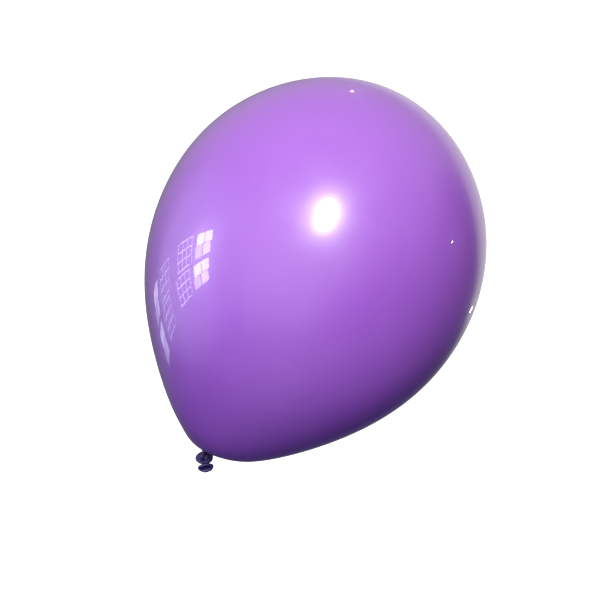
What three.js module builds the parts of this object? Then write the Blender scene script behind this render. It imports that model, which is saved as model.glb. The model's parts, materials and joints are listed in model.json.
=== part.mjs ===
// A tied latex balloon, blown up to about 27 cm across.
//
// Millimetres, +Z up. The origin is the middle of the throat, where the inflated skin is gathered
// into the neck and where a ribbon would be tied. +Z runs from there towards the crown. The tied
// neck hangs from the origin, bent over towards +X.
//
// The real balloon is one dip-moulded latex skin. It is built here region by region, each region a
// solid of its own, so that the neck, the knot and the tail can bend as the rubber does.

import * as THREE from 'three';

// ---- driving dimensions ----

const running_gap = 0.3; // between two neighbouring solids
const girth_radius = 133.9; // the envelope's radius before the pear terms below
const half_length = 169.7; // half the distance from nose to crown
const pear_terms = [0.15, -0.12, 0.13, -0.14, -0.09, 0.12]; // taper, in powers of the height
const inflated_wall = 0.02; // stretched latex
const axis_offset = 6.5; // the envelope's long axis stands this far to +X of the throat
const pulled_height = 15; // the nose is drawn sideways to the throat over this height
const crown_drift = 1.2; // how far the crown leans back to -X
const throat_radius = 2.8; // the opening that the neck closes

const neck_bend = 32; // degrees that the tied neck leans over, from -Z towards +X
const gather_radius = 2.35; // the pleated plug of rubber in the throat
const pleat_count = 12;
const pleat_depth = 0.1;
const stem_diameter = 3.2;
const stem_length = 1.7;

const turn_centre = new THREE.Vector3(-0.6, 1.3, -9.2); // the middle of the knot's turn
const turn_half_width = 5.75;
const turn_half_height = 3.9;
const turn_slant = 30; // degrees that the turn's upper side leans back
const turn_diameter = 3.3; // the neck tube, pulled flat and squeezed round by the knot
const inner_diameter = 3.0; // the same tube, squeezed thinner inside the turn
const inner_spacing = 3.5; // between the two strands inside the turn

const tail_top = new THREE.Vector3(0.2, 2.9, -14.5);
const tail_length = 3.9;
const tail_neck_radius = 1.6;
const tail_mouth_radius = 5.3;
const tail_wall = 0.7;
const tail_flatness = 0.75; // the tail is squashed front to back
const tail_lean = 35; // degrees that the mouth turns towards the front
const bead_radius = 1.1; // the rolled rim of the mouth

// ---- materials ----

const envelope_latex = new THREE.MeshStandardMaterial({ color: 0x8a4fc9, roughness: 0.16, metalness: 0 });
const neck_latex = new THREE.MeshStandardMaterial({ color: 0x3d2a78, roughness: 0.3, metalness: 0 });

// ---- helpers ----

const radians = THREE.MathUtils.degToRad;

function named(name, geometry, material) {
  const mesh = new THREE.Mesh(geometry, material);
  mesh.name = name;
  return mesh;
}

// A profile of (radius, height) points turned about Z.
function turned(profile, segments) {
  return new THREE.LatheGeometry(profile, segments).rotateX(Math.PI / 2);
}

// A round rubber strand along a curve, with flat ends.
function strand(curve, diameter, steps) {
  const section = new THREE.Shape().absarc(0, 0, diameter / 2, 0, 2 * Math.PI);
  return new THREE.ExtrudeGeometry(section, { steps, curveSegments: 6, extrudePath: curve });
}

// ---- envelope ----

// How much the width narrows or swells at a height from 1 at the crown to -1 at the nose.
function taper(height) {
  return pear_terms.reduce((sum, term, i) => sum + term * height ** (i + 1), 1);
}

// The teardrop's outline. The angle runs from 0 at the crown to pi at the nose.
function teardrop(angle) {
  const height = Math.cos(angle);
  return new THREE.Vector2(girth_radius * Math.sin(angle) * taper(height), half_length * (1 + height));
}

// The same outline, moved in along its normal by the wall.
function teardrop_inside(angle) {
  const step = 1e-4;
  const along = teardrop(angle + step).sub(teardrop(angle - step)).normalize();
  const inward = new THREE.Vector2(along.y, -along.x).multiplyScalar(inflated_wall);
  return teardrop(angle).add(inward);
}

// Draws the nose sideways to the origin, and lets the crown drift back the other way.
function bend_axis(geometry) {
  const points = geometry.attributes.position;
  for (let i = 0; i < points.count; i += 1) {
    const height = points.getZ(i);
    const above = Math.min(height / pulled_height, 1);
    const nose_pull = axis_offset * (1 - (1 - above) ** 2);
    const drift = crown_drift * (height / (2 * half_length)) ** 2;
    points.setX(i, points.getX(i) + nose_pull - drift);
  }
  return geometry;
}

function envelope() {
  const rings = 26;
  const segments = 40;
  const last_angle = Math.PI - Math.asin(throat_radius / (girth_radius * taper(-1)));
  const angles = Array.from({ length: rings }, (_, i) => (last_angle * (i + 1)) / rings);
  const profile = [
    new THREE.Vector2(0, 2 * half_length),
    ...angles.map(teardrop),
    ...angles.toReversed().map(teardrop_inside),
    new THREE.Vector2(0, 2 * half_length - inflated_wall),
  ];
  return named('envelope', bend_axis(turned(profile.toReversed(), segments)), envelope_latex);
}

// ---- throat and neck ----

// The skin's end, gathered into a ball of pleats that can roll in the opening.
function throat_gather() {
  const arc = 8;
  const profile = Array.from({ length: arc + 1 }, (_, i) => {
    const angle = (Math.PI * i) / arc;
    return new THREE.Vector2(gather_radius * Math.sin(angle), -gather_radius * Math.cos(angle));
  });
  profile[0].x = 0;
  profile[arc].x = 0;
  const ball = turned(profile, 4 * pleat_count);
  const points = ball.attributes.position;
  for (let i = 0; i < points.count; i += 1) {
    const turn = Math.atan2(points.getY(i), points.getX(i));
    const fold = 1 - pleat_depth * (0.5 - 0.5 * Math.cos(pleat_count * turn));
    points.setXY(i, points.getX(i) * fold, points.getY(i) * fold);
  }
  return named('throat_gather', ball, neck_latex);
}

// The short strand between the throat and the knot.
function neck_stem() {
  const top = -(gather_radius + running_gap);
  const down = new THREE.LineCurve3(
    new THREE.Vector3(0, 0, top),
    new THREE.Vector3(0, 0, top - stem_length),
  );
  return named('neck_stem', strand(down, stem_diameter, 2), neck_latex);
}

// ---- knot ----

// The turn that wraps both inner strands, a ring whose upper side leans back.
function knot_turn() {
  const stations = 28;
  const slant = radians(turn_slant);
  const route = Array.from({ length: stations }, (_, i) => {
    const angle = (2 * Math.PI * i) / stations;
    const across = turn_half_width * Math.cos(angle);
    const up = turn_half_height * Math.sin(angle);
    return new THREE.Vector3(across, up * Math.sin(slant), up * Math.cos(slant)).add(turn_centre);
  });
  const ring = new THREE.CatmullRomCurve3(route, true);
  return named('knot_turn', strand(ring, turn_diameter, stations), neck_latex);
}

// A strand that passes through the turn, given by its points from the middle of its hole.
function inner_strand(name, side, points) {
  const route = points.map(([across, back, up]) =>
    new THREE.Vector3(across + (side * inner_spacing) / 2, back, up).add(turn_centre),
  );
  return named(name, strand(new THREE.CatmullRomCurve3(route), inner_diameter, 12), neck_latex);
}

// Down from the neck over the front of the turn, and back through its hole.
function knot_core() {
  return inner_strand('knot_core', -1, [
    [2.2, -1.7, 4.0],
    [1.8, -1.9, 2.9],
    [0.3, -1.6, 1.5],
    [0, 0, 0],
    [0, 1.6, -1.0],
  ]);
}

// Back through the hole beside the core, and down behind the turn to the tail.
function knot_tuck() {
  return inner_strand('knot_tuck', 1, [
    [0.6, -1.7, 0.6],
    [0, 0, 0],
    [-0.1, 1.6, -1.0],
    [-0.6, 2.2, -2.8],
    [-0.9, 1.9, -4.3],
  ]);
}

// ---- tail ----

// The end of the tube below the knot, opening out to the mouth.
function tail_tube() {
  const flare = 6;
  const outside = Array.from({ length: flare + 1 }, (_, i) => {
    const share = i / flare;
    const radius = THREE.MathUtils.lerp(tail_neck_radius, tail_mouth_radius, share ** 1.5);
    return new THREE.Vector2(radius, -tail_length * share);
  });
  const inside = outside
    .slice(2)
    .map((point) => new THREE.Vector2(point.x - tail_wall, point.y))
    .toReversed();
  const profile = [
    new THREE.Vector2(0, 0),
    ...outside,
    ...inside,
    new THREE.Vector2(0, -tail_length / 3),
  ];
  const tube = turned(profile.toReversed(), 32).scale(1, tail_flatness, 1);
  return named('tail_tube', tube, neck_latex);
}

// The thick bead rolled into the rim of the mouth.
function rolled_lip() {
  const bead = new THREE.TorusGeometry(tail_mouth_radius, bead_radius, 10, 28).scale(1, tail_flatness, 1);
  const lip = named('rolled_lip', bead, neck_latex);
  lip.position.z = -(tail_length + running_gap + bead_radius);
  return lip;
}

// ---- assembly ----

const tail = new THREE.Group();
tail.position.copy(tail_top);
tail.rotation.x = -radians(tail_lean);
tail.add(tail_tube(), rolled_lip());

const tied_neck = new THREE.Group();
tied_neck.rotation.y = -radians(neck_bend);
tied_neck.add(throat_gather(), neck_stem(), knot_core(), knot_turn(), knot_tuck(), tail);

const balloon = new THREE.Group();
balloon.add(envelope(), tied_neck);

export default balloon;
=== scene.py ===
"""The looks of a tied, blown-up latex balloon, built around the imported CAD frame.

Everything is in metres, in the part's own frame: +Z runs from the throat to the crown. Places and
sizes come from the frame's boxes and joints. "The neck's frame" is the same frame turned about the
throat, so that its own Z runs up the leaning neck.
"""

import bpy
import json
import math
from mathutils import Matrix, Vector, noise


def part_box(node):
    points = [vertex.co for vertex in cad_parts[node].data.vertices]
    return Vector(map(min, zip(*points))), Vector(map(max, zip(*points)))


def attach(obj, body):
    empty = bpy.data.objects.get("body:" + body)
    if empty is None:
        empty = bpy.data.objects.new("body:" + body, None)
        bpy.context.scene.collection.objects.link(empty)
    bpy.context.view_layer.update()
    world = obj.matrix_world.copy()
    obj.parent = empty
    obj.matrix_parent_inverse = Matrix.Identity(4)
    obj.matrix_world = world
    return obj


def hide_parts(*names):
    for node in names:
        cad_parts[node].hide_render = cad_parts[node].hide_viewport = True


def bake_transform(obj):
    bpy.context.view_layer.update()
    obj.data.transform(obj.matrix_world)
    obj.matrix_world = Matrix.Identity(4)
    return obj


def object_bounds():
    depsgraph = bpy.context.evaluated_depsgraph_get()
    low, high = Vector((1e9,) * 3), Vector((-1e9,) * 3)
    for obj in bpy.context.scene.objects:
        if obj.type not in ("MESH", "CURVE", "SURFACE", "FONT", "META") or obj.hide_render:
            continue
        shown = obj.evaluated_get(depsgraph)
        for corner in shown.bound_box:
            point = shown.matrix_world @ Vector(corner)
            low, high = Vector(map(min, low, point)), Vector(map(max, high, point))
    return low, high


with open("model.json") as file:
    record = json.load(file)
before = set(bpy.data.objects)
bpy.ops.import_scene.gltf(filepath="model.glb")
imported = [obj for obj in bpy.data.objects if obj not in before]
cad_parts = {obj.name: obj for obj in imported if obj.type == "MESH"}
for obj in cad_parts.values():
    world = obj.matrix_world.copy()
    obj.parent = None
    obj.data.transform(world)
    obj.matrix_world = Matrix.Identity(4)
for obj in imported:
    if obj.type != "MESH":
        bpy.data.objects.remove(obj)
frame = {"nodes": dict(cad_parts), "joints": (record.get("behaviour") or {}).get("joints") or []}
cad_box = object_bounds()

MM = 0.001
TURN = 2 * math.pi


# ---- what the frame says ----

def joint(name):
    return next(j for j in frame["joints"] if j["name"] == name)


NECK_UP = Vector(joint("knot_twist")["axis"]).normalized()
NECK_FRAME = Matrix.Rotation(math.atan2(NECK_UP.x, NECK_UP.z), 4, "Y")
SKIN_LOW, SKIN_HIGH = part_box("envelope")


def neck_box(node):
    """The lowest and highest corners of a CAD node, in the neck's frame."""
    part = frame["nodes"][node]
    to_neck = NECK_FRAME.inverted() @ part.matrix_world
    corners = [to_neck @ v.co for v in part.data.vertices]
    low = Vector([min(c[i] for c in corners) for i in range(3)])
    high = Vector([max(c[i] for c in corners) for i in range(3)])
    return low, high


# ---- the envelope's outline, as the CAD has it ----

PEAR_TERMS = (0.15, -0.12, 0.13, -0.14, -0.09, 0.12)
HALF_LENGTH = SKIN_HIGH.z / 2
AXIS_OFFSET = 6.5 * MM
PULLED_HEIGHT = 15 * MM
CROWN_DRIFT = 1.2 * MM
THROAT_RADIUS = 2.8 * MM


def taper(height):
    return 1 + sum(term * height ** (i + 1) for i, term in enumerate(PEAR_TERMS))


WIDEST = max(math.sin(math.pi * i / 500) * taper(math.cos(math.pi * i / 500)) for i in range(500))
GIRTH_RADIUS = (SKIN_HIGH.y - SKIN_LOW.y) / 2 / WIDEST
LAST_ANGLE = math.pi - math.asin(THROAT_RADIUS / (GIRTH_RADIUS * taper(-1)))


def outline(angle):
    """Radius and height of the teardrop, from 0 at the crown to nearly pi at the throat."""
    height = math.cos(angle)
    return GIRTH_RADIUS * math.sin(angle) * taper(height), HALF_LENGTH * (1 + height)


def skin_point(angle, azimuth, lift=0.0):
    """A point of the skin, moved out along its normal by lift, with the nose pulled to the throat."""
    step = 1e-3
    radius, height = outline(angle)
    ahead_radius, ahead_height = outline(angle + step)
    back_radius, back_height = outline(angle - step)
    run = Vector((ahead_radius - back_radius, ahead_height - back_height)).normalized()
    radius -= run.y * lift
    height += run.x * lift
    above = min(max(height, 0) / PULLED_HEIGHT, 1)
    middle = AXIS_OFFSET * (1 - (1 - above) ** 2) - CROWN_DRIFT * (height / (2 * HALF_LENGTH)) ** 2
    return Vector((middle + radius * math.cos(azimuth), radius * math.sin(azimuth), height))


# ---- mesh helpers ----

def grid_faces(rows, columns, start=0, closed_rows=False):
    """Quads between rows of points, each row closed on itself."""
    faces = []
    for r in range(rows if closed_rows else rows - 1):
        below = start + r * columns
        above = start + ((r + 1) % rows) * columns
        for c in range(columns):
            d = (c + 1) % columns
            faces.append((below + c, below + d, above + d, above + c))
    return faces


def make_piece(name, points, faces, material, thickness_and_shade=None):
    """A smooth mesh object. thickness is how far each point's colour is darkened, from 0 to 1: partly
    thicker rubber, partly painted shade round the throat.
    """
    mesh = bpy.data.meshes.new(name)
    mesh.from_pydata([tuple(p) for p in points], [], faces)
    mesh.polygons.foreach_set("use_smooth", [True] * len(mesh.polygons))
    if thickness_and_shade is not None:
        attribute = mesh.attributes.new("thickness_and_shade", "FLOAT", "POINT")
        attribute.data.foreach_set("value", thickness_and_shade)
    mesh.update()
    mesh.materials.append(material)
    piece = bpy.data.objects.new(name, mesh)
    bpy.context.scene.collection.objects.link(piece)
    return piece


def smooth_route(points, steps, closed=False):
    """Evenly numbered points on a Catmull-Rom curve through the given ones."""
    count = len(points)
    spans = count if closed else count - 1

    def corner(i):
        if closed:
            return points[i % count]
        if i < 0:
            return points[0] * 2 - points[1]
        if i >= count:
            return points[-1] * 2 - points[-2]
        return points[i]

    route = []
    for s in range(steps if closed else steps + 1):
        place = s / steps * spans
        span = min(int(place), spans - 1)
        t = place - span
        a, b, c, d = (corner(span + k) for k in (-1, 0, 1, 2))
        route.append(
            0.5 * (2 * b + (c - a) * t + (2 * a - 5 * b + 4 * c - d) * t**2
                   + (3 * b - a - 3 * c + d) * t**3)
        )
    return route


def ruffle(point, scale, seed):
    """Smooth noise from -1 to 1 that is the same on every run."""
    return noise.noise(point / scale + Vector((seed, 3.1 * seed, 7.7 * seed)))


def strand(name, route, section, material, side, closed=False, ridges=(0, 0.0), seed=0.0):
    """A tube of squeezed rubber along a route in the neck's frame.

    section(share) gives the half width and half depth at a share of the length. side is the
    direction that the width runs in. ridges are how many creases run along it and how deep they are.
    """
    around = 40
    crease_wander = 4 * MM
    lump_size = 1.7 * MM
    lump_share = 0.12
    count = len(route)
    points = []
    for i, centre in enumerate(route):
        ahead = route[(i + 1) % count] if closed else route[min(i + 1, count - 1)]
        behind = route[i - 1] if closed or i else route[0]
        along = (ahead - behind).normalized()
        across = (side - along * side.dot(along)).normalized()
        depth = along.cross(across)
        half_width, half_depth = section(i / (count if closed else count - 1))
        for k in range(around):
            angle = TURN * k / around
            crease = ridges[1] * math.cos(ridges[0] * angle + 2.5 * ruffle(centre, crease_wander, seed))
            reach = 1 - ridges[1] + crease
            point = centre + across * (half_width * reach * math.cos(angle))
            point += depth * (half_depth * reach * math.sin(angle))
            point += (point - centre) * lump_share * ruffle(point, lump_size, seed + 5)
            points.append(NECK_FRAME @ point)
    faces = grid_faces(count, around, closed_rows=closed)
    if not closed:
        faces.append(tuple(reversed(range(around))))
        faces.append(tuple(range((count - 1) * around, count * around)))
    return make_piece(name, points, faces, material)


def round_ends(half_width, half_depth, taper_share=0.12):
    """A section that keeps its size along the strand and closes down in a dome at both ends."""
    def section(share):
        near = min(share, 1 - share) / taper_share
        size = math.sqrt(max(1 - (1 - min(near, 1)) ** 2, 0.0025))
        return half_width * size, half_depth * size
    return section


# ---- materials ----

def new_material(name):
    material = bpy.data.materials.new(name)
    material.use_nodes = True
    nodes = material.node_tree.nodes
    return material, nodes, material.node_tree.links, nodes["Principled BSDF"]


def noise_texture(nodes, links, scale, detail, coordinates):
    texture = nodes.new("ShaderNodeTexNoise")
    texture.inputs["Scale"].default_value = scale
    texture.inputs["Detail"].default_value = detail
    links.new(coordinates.outputs["Object"], texture.inputs["Vector"])
    return texture


def remap(nodes, links, source, low, high):
    """The middle of a noise's range brought smoothly to low to high."""
    node = nodes.new("ShaderNodeMapRange")
    node.interpolation_type = "SMOOTHSTEP"
    node.inputs["From Min"].default_value = 0.2
    node.inputs["From Max"].default_value = 0.8
    node.inputs["To Min"].default_value = low
    node.inputs["To Max"].default_value = high
    links.new(source, node.inputs["Value"])
    return node.outputs["Result"]


def mix_colours(nodes, links, factor, a, b):
    """a and b are colours or sockets."""
    node = nodes.new("ShaderNodeMix")
    node.data_type = "RGBA"
    links.new(factor, node.inputs["Factor"])
    for name, value in (("A", a), ("B", b)):
        socket = next(s for s in node.inputs if s.name == name and s.type == "RGBA")
        if isinstance(value, bpy.types.NodeSocket):
            links.new(value, socket)
        else:
            socket.default_value = (*value, 1)
    return next(s for s in node.outputs if s.type == "RGBA")


def envelope_latex():
    """Stretched latex: glossy, lighter where it is thin and darker round the throat, with a faint mottle
    and fine dust. The darkening round the throat is partly thicker rubber and partly painted shade.
    """
    material, nodes, links, shader = new_material("envelope_latex")
    coordinates = nodes.new("ShaderNodeTexCoord")
    thickness_and_shade = nodes.new("ShaderNodeAttribute")
    thickness_and_shade.attribute_name = "thickness_and_shade"
    mottle = noise_texture(nodes, links, 34, 5, coordinates)
    cloud = noise_texture(nodes, links, 6, 2, coordinates)
    speck = noise_texture(nodes, links, 150, 2, coordinates)
    drift = mix_colours(
        nodes, links, remap(nodes, links, cloud.outputs["Fac"], 0, 1),
        (0.310, 0.094, 0.545), (0.330, 0.104, 0.570),
    )
    dappled = mix_colours(
        nodes, links, remap(nodes, links, mottle.outputs["Fac"], 0, 0.25), drift, (0.345, 0.118, 0.580)
    )
    grained = mix_colours(
        nodes, links, remap(nodes, links, speck.outputs["Fac"], 0, 0.06), dappled, (0.240, 0.070, 0.460)
    )
    # Darker round the throat by the thickness attribute: partly thicker rubber, partly painted shade.
    colour = mix_colours(nodes, links, thickness_and_shade.outputs["Fac"], grained, (0.030, 0.010, 0.130))
    links.new(colour, shader.inputs["Base Color"])
    links.new(remap(nodes, links, mottle.outputs["Fac"], 0.29, 0.37), shader.inputs["Roughness"])
    shader.inputs["IOR"].default_value = 1.52
    shader.inputs["Specular IOR Level"].default_value = 0.8
    shader.inputs["Coat Weight"].default_value = 1.0
    shader.inputs["Coat Roughness"].default_value = 0.012
    shader.inputs["Coat IOR"].default_value = 1.5
    peel = noise_texture(nodes, links, 900, 2, coordinates)
    bump = nodes.new("ShaderNodeBump")
    bump.inputs["Strength"].default_value = 0.04
    bump.inputs["Distance"].default_value = 0.1 * MM
    links.new(peel.outputs["Fac"], bump.inputs["Height"])
    links.new(bump.outputs["Normal"], shader.inputs["Normal"])
    return material


def neck_latex():
    """Unstretched latex: thick, deep indigo, satin, finely wrinkled."""
    material, nodes, links, shader = new_material("neck_latex")
    coordinates = nodes.new("ShaderNodeTexCoord")
    mottle = noise_texture(nodes, links, 420, 4, coordinates)
    colour = mix_colours(
        nodes, links, remap(nodes, links, mottle.outputs["Fac"], 0, 1),
        (0.030, 0.014, 0.120), (0.052, 0.027, 0.180),
    )
    links.new(colour, shader.inputs["Base Color"])
    links.new(remap(nodes, links, mottle.outputs["Fac"], 0.30, 0.46), shader.inputs["Roughness"])
    shader.inputs["IOR"].default_value = 1.52
    shader.inputs["Coat Weight"].default_value = 0.25
    shader.inputs["Coat Roughness"].default_value = 0.2
    wrinkle = noise_texture(nodes, links, 1500, 3, coordinates)
    bump = nodes.new("ShaderNodeBump")
    bump.inputs["Strength"].default_value = 0.35
    bump.inputs["Distance"].default_value = 0.12 * MM
    links.new(wrinkle.outputs["Fac"], bump.inputs["Height"])
    links.new(bump.outputs["Normal"], shader.inputs["Normal"])
    return material


SKIN_MATERIAL = envelope_latex()
NECK_MATERIAL = neck_latex()


# ---- envelope ----

def fold_height(from_throat, azimuth):
    """The faint folds that run out over the skin from the throat and fade away."""
    height_at_throat = 0.10 * MM
    reach = 7 * MM
    folds = math.cos(13 * azimuth) + 0.6 * math.cos(7 * azimuth + 1.1) + 0.4 * math.cos(23 * azimuth)
    return height_at_throat * folds * math.exp(-(from_throat - THROAT_RADIUS) / reach)


def thickness_and_painted_shade(angle):
    """From 0, fully stretched, to 1, as dipped: thick round the throat, a little at the crown's tip. The
    darkening this gives round the throat is partly painted shade.
    """
    radius, height = outline(angle)
    from_throat = math.hypot(radius, height)
    nose = 0.6 * math.exp(-from_throat / (12 * MM))
    shoulder = 0.25 * math.exp(-from_throat / (45 * MM))
    crown = 0.08 * math.exp(-((2 * HALF_LENGTH - height) / (4 * MM)))
    return min(nose + shoulder + crown, 1)


def build_envelope():
    """A shell with the throat open: the outside, and an inside that follows it closely."""
    columns = 240
    outer_rows = 190
    inner_rows = 80
    shell = 0.3 * MM
    points = []
    thickness_and_shade = []
    rows = []
    for surface_rows, inward in ((outer_rows, 0.0), (inner_rows, shell)):
        angles = [LAST_ANGLE * (i + 1) / surface_rows for i in range(surface_rows)]
        rows.append(angles if inward == 0 else list(reversed(angles)))
    for surface, (angles, inward) in enumerate(zip(rows, (0.0, shell))):
        for angle in angles:
            from_throat = math.hypot(*outline(angle))
            for c in range(columns):
                azimuth = TURN * c / columns
                lift = fold_height(from_throat, azimuth) if surface == 0 else 0.0
                point = skin_point(angle, azimuth, lift - inward)
                swell = 0.35 * MM * ruffle(point, 110 * MM, 2.0) * min(point.z / (40 * MM), 1)
                point += Vector((math.cos(azimuth), math.sin(azimuth), 0)) * swell
                points.append(point)
                thickness_and_shade.append(thickness_and_painted_shade(angle))
    faces = [tuple(reversed(f)) for f in grid_faces(outer_rows + inner_rows, columns)]
    crown_outside = len(points)
    middle = Vector((AXIS_OFFSET - CROWN_DRIFT, 0, 2 * HALF_LENGTH))
    points.extend([middle, middle - Vector((0, 0, shell))])
    thickness_and_shade.extend([thickness_and_painted_shade(0)] * 2)
    last_row = (outer_rows + inner_rows - 1) * columns
    for c in range(columns):
        d = (c + 1) % columns
        faces.append((crown_outside, c, d))
        faces.append((crown_outside + 1, last_row + d, last_row + c))
    piece = make_piece("skin", points, faces, SKIN_MATERIAL, thickness_and_shade)
    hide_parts("envelope")
    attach(piece, "skin")


# ---- throat ----

def build_throat():
    """The pleated end of the skin, which runs down off the nose into the neck."""
    columns = 168
    rows = 44
    neck_radius = 1.65 * MM
    outer_radius = 8.5 * MM
    landing_radius = 3.6 * MM
    share_on_skin = 0.45
    neck_end = -3.6 * MM
    nose = GIRTH_RADIUS * taper(-1)

    def on_skin(radius, azimuth, lift):
        return skin_point(math.pi - math.asin(radius / nose), azimuth, lift)

    def in_neck(height, azimuth):
        ring = Vector((neck_radius * math.cos(azimuth), neck_radius * math.sin(azimuth), height))
        return NECK_FRAME @ ring

    points = []
    thickness_and_shade = []
    for r in range(rows):
        share = r / (rows - 1)
        for c in range(columns):
            azimuth = TURN * c / columns
            pleat = math.cos(14 * azimuth + 0.6 * math.sin(3 * azimuth))
            if share < share_on_skin:
                t = share / share_on_skin
                radius = outer_radius + (landing_radius - outer_radius) * t
                lift = (-0.30 + 0.42 * t + 0.12 * t * pleat) * MM
                point = on_skin(radius, azimuth, lift)
            else:
                t = (share - share_on_skin) / (1 - share_on_skin)
                start = on_skin(landing_radius, azimuth, (0.12 + 0.12 * pleat) * MM)
                corner = in_neck(-0.5 * MM, azimuth)
                end = in_neck(neck_end, azimuth)
                point = start * (1 - t) ** 2 + corner * 2 * t * (1 - t) + end * t**2
                outward = (point - NECK_UP * point.dot(NECK_UP)).normalized()
                point += outward * 0.14 * MM * pleat * (1 - 0.4 * t)
            points.append(point)
            # Darker down the pleats towards the neck: partly thicker rubber, partly painted shade.
            thickness_and_shade.append(0.45 + 0.55 * share)
    faces = grid_faces(rows, columns)
    faces.append(tuple(reversed(range(columns))))
    faces.append(tuple(range((rows - 1) * columns, rows * columns)))
    outward_faces = [tuple(reversed(f)) for f in faces]
    piece = make_piece("throat_pleats", points, outward_faces, SKIN_MATERIAL, thickness_and_shade)
    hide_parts("throat_gather")
    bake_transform(piece)


# ---- neck and knot ----

TURN_LOW, TURN_HIGH = neck_box("knot_turn")
TURN_MIDDLE = (TURN_LOW + TURN_HIGH) / 2
TURN_REACH = (TURN_HIGH - TURN_LOW) / 2
TURN_SLANT = math.radians(30)


def by_the_turn(across, back, up):
    """A place in the neck's frame, in millimetres from the middle of the knot's turn."""
    return TURN_MIDDLE + Vector((across, back, up)) * MM


def finish_knot_piece(piece, node):
    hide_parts(node)
    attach(piece, "knot")


def build_stem():
    top, bottom = -1.2 * MM, -6.0 * MM
    route = smooth_route([Vector((0, 0, top)), Vector((0, -0.3 * MM, bottom))], 24)
    piece = strand(
        "neck_strand", route, round_ends(1.75 * MM, 1.6 * MM, 0.1), NECK_MATERIAL,
        side=Vector((1, 0, 0)), ridges=(7, 0.09), seed=1.0,
    )
    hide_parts("neck_stem")
    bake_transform(piece)


def build_turn():
    """The ring of squeezed tube round the knot: a fat lobe at its right, a slimmer one at its left."""
    steps = 120
    slim = 1.85 * MM
    right_bulge = 0.75 * MM
    left_bulge = 0.15 * MM

    def half_width(angle):
        lobe = right_bulge if math.cos(angle) > 0 else left_bulge
        return slim + lobe * math.cos(angle) ** 2

    def section(share):
        width = half_width(TURN * share)
        return width * 1.05, width

    route = []
    for i in range(steps):
        angle = TURN * i / steps
        across = (TURN_REACH.x - half_width(angle)) * math.cos(angle)
        up = (TURN_REACH.z - slim) / math.cos(TURN_SLANT) * math.sin(angle)
        offset = Vector((across, up * math.sin(TURN_SLANT), up * math.cos(TURN_SLANT)))
        route.append(TURN_MIDDLE + offset)
    piece = strand(
        "knot_turn_fold", route, section, NECK_MATERIAL, side=Vector((0, 1, 0)),
        closed=True, ridges=(5, 0.06), seed=2.0,
    )
    finish_knot_piece(piece, "knot_turn")


def build_core():
    """Down from the neck over the front of the turn, and back through the left of its hole."""
    neck_width = 1.9 * MM
    swell = 1.1 * MM  # where it fills the hole
    thinner = 0.85
    dome = round_ends(1, 1, 0.08)

    def section(share):
        width = (neck_width + swell * share) * dome(share)[0]
        return width, width * thinner

    points = [
        by_the_turn(0.6, -1.5, 5.2),
        by_the_turn(0.2, -2.5, 3.6),
        by_the_turn(-0.8, -3.0, 2.2),
        by_the_turn(-1.6, -2.2, 0.9),
        by_the_turn(-1.6, -0.4, 0.1),
        by_the_turn(-1.6, 2.0, -0.5),
    ]
    piece = strand(
        "knot_core_fold", smooth_route(points, 70), section, NECK_MATERIAL,
        side=Vector((1, 0, 0.5)), ridges=(6, 0.07), seed=3.0,
    )
    finish_knot_piece(piece, "knot_core")


def build_tuck():
    """Over the front at the right, back through the hole, and down behind the turn to the tail."""
    points = [
        by_the_turn(2.8, -1.2, 3.2),
        by_the_turn(2.5, -2.2, 1.4),
        by_the_turn(1.7, -1.8, -0.6),
        by_the_turn(1.2, 0.8, -1.1),
        by_the_turn(1.1, 2.4, -2.8),
        by_the_turn(0.8, 1.9, -5.4),
    ]
    piece = strand(
        "knot_tuck_fold", smooth_route(points, 70), round_ends(2.4 * MM, 2.0 * MM, 0.16), NECK_MATERIAL,
        side=Vector((1, 0, 0)), ridges=(6, 0.06), seed=4.0,
    )
    finish_knot_piece(piece, "knot_tuck")


# ---- tail ----

TAIL_TOP = NECK_FRAME.inverted() @ Vector(joint("tail_bend")["pos_m"])
TAIL_LEAN = math.radians(52)
TAIL_FRAME = NECK_FRAME @ Matrix.Translation(TAIL_TOP) @ Matrix.Rotation(-TAIL_LEAN, 4, "X")
TAIL_LENGTH = 3.4 * MM
BEAD_RADIUS = 1.15 * MM
LIP_LOW, LIP_HIGH = neck_box("rolled_lip")
MOUTH_RADIUS = (LIP_HIGH.x - LIP_LOW.x) / 2 - BEAD_RADIUS
MOUTH_FLATNESS = 0.8


def mouth_wave(azimuth):
    """How the soft rim wanders: a share of its radius, and a height."""
    share = 1 + 0.03 * math.cos(2 * azimuth + 0.7) + 0.02 * math.cos(5 * azimuth + 2.0)
    tip = 0.6 * MM * math.cos(azimuth)
    return share, tip + 0.3 * MM * math.cos(2 * azimuth + 0.4) + 0.12 * MM * math.cos(5 * azimuth)


def build_tail():
    """The flared end of the tube: down its outside, over the rim and up its inside."""
    columns = 96
    neck_radius = 2.2 * MM
    wall = 0.6 * MM
    above_top = 0.8 * MM
    outside = [i / 24 for i in range(25)]
    inside = [i / 18 for i in range(18, 3, -1)]
    points = []
    for share, inset in [(s, 0.0) for s in outside] + [(s, wall) for s in inside]:
        flare = share**1.2
        for c in range(columns):
            azimuth = TURN * c / columns
            wave, drop = mouth_wave(azimuth)
            mouth = MOUTH_RADIUS * (1 + (wave - 1) * flare)
            radius = neck_radius + (mouth - neck_radius) * flare - inset
            pleat = 1 + 0.06 * math.cos(9 * azimuth + 0.5) * (1 - 0.7 * share)
            across = radius * pleat * math.cos(azimuth)
            back = radius * pleat * math.sin(azimuth) * (1 + (MOUTH_FLATNESS - 1) * flare)
            height = above_top - (TAIL_LENGTH + above_top) * share + drop * flare
            points.append(TAIL_FRAME @ Vector((across, back, height)))
    rows = len(outside) + len(inside)
    faces = [tuple(reversed(f)) for f in grid_faces(rows, columns)]
    faces.append(tuple(range(columns)))
    faces.append(tuple(reversed(range((rows - 1) * columns, rows * columns))))
    piece = make_piece("tail_flare", points, faces, NECK_MATERIAL)
    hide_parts("tail_tube")
    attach(piece, "tail")


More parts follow.
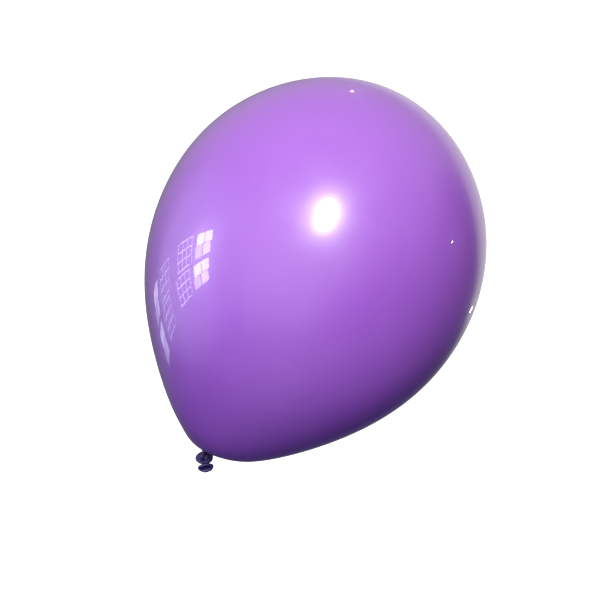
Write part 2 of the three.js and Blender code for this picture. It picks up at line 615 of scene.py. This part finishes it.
def build_lip():
    """The bead of rolled-up rubber round the mouth, much the thickest at its back."""
    columns = 140
    around = 28
    points = []
    for c in range(columns):
        azimuth = TURN * c / columns
        wave, drop = mouth_wave(azimuth)
        bead = BEAD_RADIUS * (1.3 + 0.4 * math.sin(azimuth) + 0.05 * math.cos(4 * azimuth + 1.0))
        middle = MOUTH_RADIUS * wave - (bead - BEAD_RADIUS)
        for k in range(around):
            angle = TURN * k / around
            radius = middle + bead * math.cos(angle)
            curl = 1 + 0.05 * math.cos(3 * angle + 6 * azimuth)
            height = -TAIL_LENGTH - 0.5 * BEAD_RADIUS + drop + bead * curl * math.sin(angle)
            across = radius * math.cos(azimuth)
            back = radius * math.sin(azimuth) * MOUTH_FLATNESS
            points.append(TAIL_FRAME @ Vector((across, back, height)))
    faces = grid_faces(columns, around, closed_rows=True)
    piece = make_piece("lip_bead", points, faces, NECK_MATERIAL)
    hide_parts("rolled_lip")
    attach(piece, "tail")


build_envelope()
build_throat()
build_stem()
build_turn()
build_core()
build_tuck()
build_tail()
build_lip()


# ---- camera ----

CROWN_TIP = math.radians(18)  # the crown leans towards the camera
ROLL = math.radians(28.5)  # the balloon leans over to the right in the picture
CAMERA_DISTANCE = 8.0
PICTURE_WIDTH = 0.486  # across the picture at the balloon's middle
PICTURE_SHIFT = (-4.3 * MM, -18.5 * MM)  # the picture's middle, right of and above the balloon's
BALLOON_MIDDLE = Vector((AXIS_OFFSET, 0, HALF_LENGTH))

AXIS_SEEN = Vector((0, math.sin(CROWN_TIP), math.cos(CROWN_TIP)))
FORWARD = Vector((0, math.cos(CROWN_TIP), -math.sin(CROWN_TIP)))
RIGHT = Vector((math.cos(ROLL), 0, 0)) + AXIS_SEEN * math.sin(ROLL)
UP = RIGHT.cross(FORWARD)


def build_camera():
    camera = bpy.data.cameras.new("camera")
    holder = bpy.data.objects.new("camera", camera)
    bpy.context.scene.collection.objects.link(holder)
    middle = BALLOON_MIDDLE + RIGHT * PICTURE_SHIFT[0] + UP * PICTURE_SHIFT[1]
    place = middle - FORWARD * CAMERA_DISTANCE
    turn = Matrix((RIGHT, UP, -FORWARD)).transposed().to_4x4()
    holder.matrix_world = Matrix.Translation(place) @ turn
    camera.sensor_width = 36
    camera.lens = camera.sensor_width * CAMERA_DISTANCE / PICTURE_WIDTH
    bpy.context.scene.camera = holder


build_camera()


# ---- light and floor ----

def light_turn(outward, across):
    """The turn of a light that hangs on the outward side and shines back the other way."""
    return Matrix((across, outward.cross(across), outward)).transposed().to_4x4()


def area_light(name, width, height, watts, colour=(1, 1, 1)):
    lamp = bpy.data.lights.new(name, "AREA")
    lamp.shape = "RECTANGLE"
    lamp.size = width
    lamp.size_y = height
    lamp.energy = watts
    lamp.color = colour
    holder = bpy.data.objects.new(name, lamp)
    bpy.context.scene.collection.objects.link(holder)
    holder.visible_camera = False
    return holder


def seen_direction(right, up, towards):
    """A direction as the camera sees it."""
    return (RIGHT * right + UP * up - FORWARD * towards).normalized()


def from_middle(name, direction, distance, width, height, watts, colour=(1, 1, 1), roll=0.0):
    """A light in a direction from the balloon's middle, facing the balloon."""
    lamp = area_light(name, width, height, watts, colour)
    across = UP.cross(direction).normalized()
    turn = light_turn(direction, across) @ Matrix.Rotation(roll, 4, "Z")
    lamp.matrix_world = Matrix.Translation(BALLOON_MIDDLE + direction * distance) @ turn
    return lamp


GLINTS = ((0.981, 0.017, -0.192), (0.432, -0.152, -0.889), (0.122, 0.784, -0.608))  # far lamps
WALL_DISTANCE = 1.5
WALL_SLOPE = 0.22
WINDOW_COLOUR = (0.80, 0.86, 1.0)
LAMP_DISTANCE = 2.5
HALO_DISTANCE = 2.6  # just behind the key
KEY_ROLL = math.radians(-20)
WASH_SIZE = 2.4
GLINT_SIZE = 0.04
GLINT_WATTS = 0.25


def wall_light(name, near, up, width, height, radiance):
    """A pane of light on the wall at the balloon's left, whose rows slope down away from the camera."""
    watts = radiance * math.pi * width * height
    place = BALLOON_MIDDLE - RIGHT * WALL_DISTANCE - FORWARD * near + UP * (up + WALL_SLOPE * near)
    lamp = area_light(name, width, height, watts, WINDOW_COLOUR)
    along = (UP * WALL_SLOPE - FORWARD).normalized()
    lamp.matrix_world = Matrix.Translation(place) @ light_turn(-RIGHT, along)


def build_window(name, casement, lattice, up, width, pane_radiance, bar_radiance):
    """Two sashes, one above the other: a bright casement, and beside it a lit lattice of thin bars."""
    sash_height = 0.28
    sash_gap = 0.05
    bar = 0.012
    for sash in (0, 1):
        middle = up - sash * (sash_height + sash_gap)
        for column in (0, 1):
            for row in (0, 1):
                wall_light(
                    f"{name}_pane_{sash}{column}{row}",
                    casement + width * (column / 2 - 0.25),
                    middle + sash_height * (0.25 - row / 2),
                    width / 2 - bar, sash_height / 2 - bar,
                    pane_radiance * (1.0 if row == 0 else 0.5 + 0.3 * column),
                )
        for post in range(4):
            offset = (post / 3 - 0.5) * width
            wall_light(
                f"{name}_post_{sash}{post}", lattice + offset, middle, bar, sash_height, bar_radiance,
            )
        for rail in range(4):
            offset = (rail / 3 - 0.5) * sash_height
            wall_light(f"{name}_rail_{sash}{rail}", lattice, middle + offset, width, bar, bar_radiance)


def build_lights():
    """The key, a wash from above, fills that leave no reflection, and the two windows."""
    to_key = seen_direction(0.044, 0.342, 0.939)
    key = from_middle(
        "key", to_key, LAMP_DISTANCE, width=0.66, height=0.95, watts=51, roll=KEY_ROLL,
    )
    halo = from_middle(
        "key_halo", to_key, HALO_DISTANCE, width=0.9, height=1.25, watts=10, roll=KEY_ROLL,
    )
    for lamp in (key, halo):
        lamp.data.shape = "ELLIPSE"
    crown = from_middle(
        "crown_wash", seen_direction(0.0, 1.0, 0.35), LAMP_DISTANCE, WASH_SIZE, WASH_SIZE,
        watts=8, colour=(1.0, 0.98, 0.9),
    )
    fill = from_middle(
        "low_fill", seen_direction(-0.3, -0.95, 0.3), LAMP_DISTANCE, WASH_SIZE, WASH_SIZE,
        watts=28, colour=(0.76, 0.68, 1.0),
    )
    for lamp in (crown, fill):
        lamp.visible_glossy = False
    for number, glint in enumerate(GLINTS):
        place = seen_direction(*glint)
        from_middle(f"glint_{number}", place, LAMP_DISTANCE, GLINT_SIZE, GLINT_SIZE, GLINT_WATTS)
    build_window(
        "near", casement=0.24, lattice=-0.19, up=0.13, width=0.34, pane_radiance=13, bar_radiance=7,
    )
    build_window(
        "far", casement=-1.52, lattice=-0.88, up=0.09, width=0.42, pane_radiance=2.2, bar_radiance=3.0,
    )


def direction_glow(nodes, links, coordinates, direction, start, end):
    """From 0 to 1 as a ray turns towards a direction, between two cosines."""
    towards = nodes.new("ShaderNodeVectorMath")
    towards.operation = "DOT_PRODUCT"
    towards.inputs[1].default_value = direction
    links.new(coordinates.outputs["Generated"], towards.inputs[0])
    spread = nodes.new("ShaderNodeMapRange")
    spread.interpolation_type = "SMOOTHSTEP"
    spread.inputs["From Min"].default_value = start
    spread.inputs["From Max"].default_value = end
    links.new(towards.outputs["Value"], spread.inputs["Value"])
    return spread.outputs["Result"]


def build_world():
    """White to the eye. As light, a room: pale above, at the windows and behind, dark below."""
    world = bpy.data.worlds.new("studio")
    bpy.context.scene.world = world
    world.use_nodes = True
    nodes = world.node_tree.nodes
    links = world.node_tree.links
    nodes.clear()
    coordinates = nodes.new("ShaderNodeTexCoord")
    above = direction_glow(nodes, links, coordinates, UP, -0.6, 0.9)
    room = mix_colours(nodes, links, above, (0.03, 0.02, 0.10), (0.56, 0.52, 0.56))
    behind = direction_glow(
        nodes, links, coordinates, seen_direction(0.36, 0.2, -0.9), math.cos(math.radians(26)), 0.985,
    )
    beside = direction_glow(
        nodes, links, coordinates, seen_direction(0.93, -0.05, -0.35), math.cos(math.radians(34)), 0.97,
    )
    shaded = mix_colours(nodes, links, beside, room, (0.06, 0.04, 0.09))
    window = direction_glow(
        nodes, links, coordinates, seen_direction(-0.95, 0.02, -0.05), math.cos(math.radians(46)), 0.97,
    )
    glowing = mix_colours(nodes, links, window, shaded, (0.80, 0.86, 1.10))
    front = direction_glow(
        nodes, links, coordinates, seen_direction(-0.35, 0.05, 0.93), math.cos(math.radians(62)), 1.0,
    )
    lit = mix_colours(nodes, links, front, glowing, (0.85, 0.90, 0.80))
    around = mix_colours(nodes, links, behind, lit, (0.75, 0.70, 0.78))
    sky = nodes.new("ShaderNodeBackground")
    links.new(around, sky.inputs["Color"])
    white = nodes.new("ShaderNodeBackground")
    white.inputs["Color"].default_value = (1, 1, 1, 1)
    eye = nodes.new("ShaderNodeLightPath")
    choose = nodes.new("ShaderNodeMixShader")
    links.new(eye.outputs["Is Camera Ray"], choose.inputs["Fac"])
    links.new(sky.outputs["Background"], choose.inputs[1])
    links.new(white.outputs["Background"], choose.inputs[2])
    output = nodes.new("ShaderNodeOutputWorld")
    links.new(choose.outputs["Shader"], output.inputs["Surface"])


def build_floor():
    """A plain, nearly white floor well below the balloon, which floats."""
    drop = 0.35
    reach = 30.0
    height = cad_box[0][2] - drop
    corners = [
        (-reach, -reach, height), (reach, -reach, height), (reach, reach, height), (-reach, reach, height),
    ]
    mesh = bpy.data.meshes.new("floor")
    mesh.from_pydata(corners, [], [(0, 1, 2, 3)])
    floor = bpy.data.objects.new("floor", mesh)
    bpy.context.scene.collection.objects.link(floor)
    material, nodes, links, shader = new_material("floor")
    shader.inputs["Base Color"].default_value = (0.92, 0.92, 0.93, 1)
    shader.inputs["Roughness"].default_value = 0.9
    shader.inputs["Emission Color"].default_value = (1, 1, 1, 1)
    shader.inputs["Emission Strength"].default_value = 0.8
    mesh.materials.append(material)
    floor.visible_glossy = False
    floor.visible_diffuse = False


build_lights()
build_world()
build_floor()
bpy.context.scene.view_settings.view_transform = "Standard"
